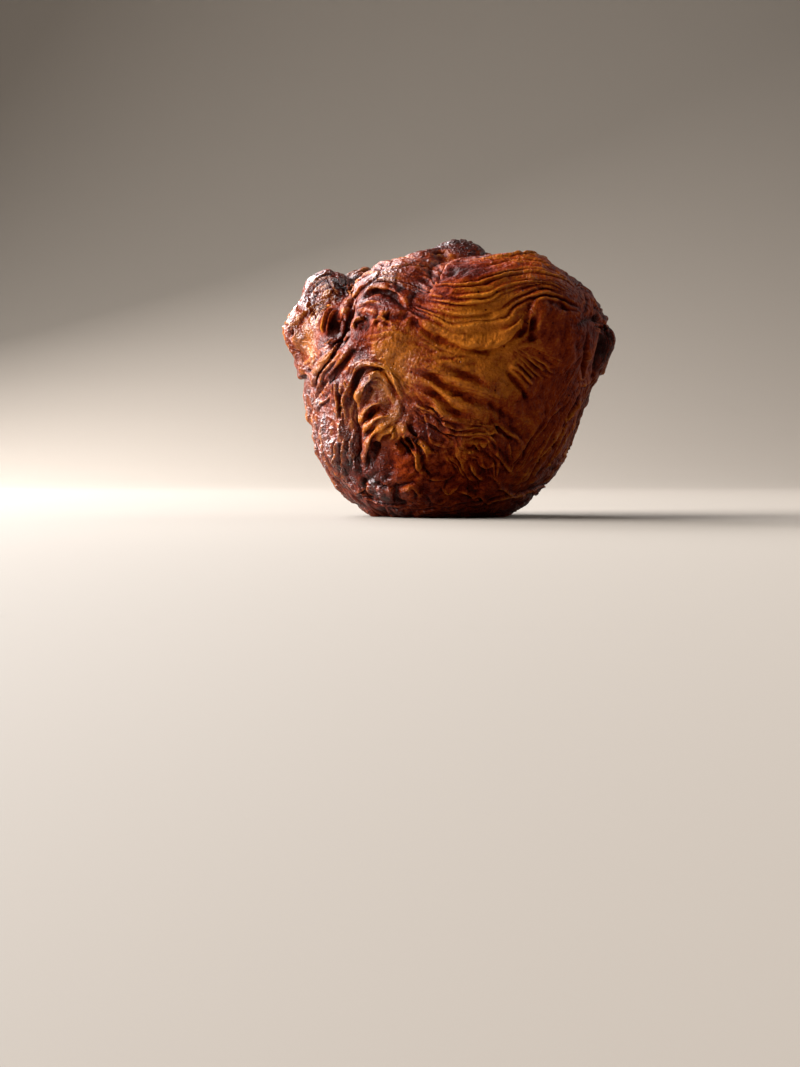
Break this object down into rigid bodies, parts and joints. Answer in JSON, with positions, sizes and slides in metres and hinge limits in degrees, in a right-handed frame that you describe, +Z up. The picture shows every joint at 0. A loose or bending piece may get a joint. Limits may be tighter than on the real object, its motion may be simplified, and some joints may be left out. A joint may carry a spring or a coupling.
{
  "type": "kouign amann",
  "caption": "Caramelised laminated pastry baked in a tapered round tin, with folded corners closed over the top; it stands on its flat base.",
  "frame": {"origin": "middle of the pastry's bounding box on the surface that it stands on", "axes": "+Z up, away from the base; -Y is the front; +X to the right as seen from the front, which is the longest side because of the two folded corners that stick out"},
  "size_m": [0.0896, 0.0801, 0.0756],
  "materials": {
    "caramelised_crust": "baked, sugared laminated dough: golden to dark brown ridged layers under a thin caramel glaze"
  },
  "bodies": {
    "root": {"kouign_amann": "caramelised_crust"}
  },
  "joints": []
}
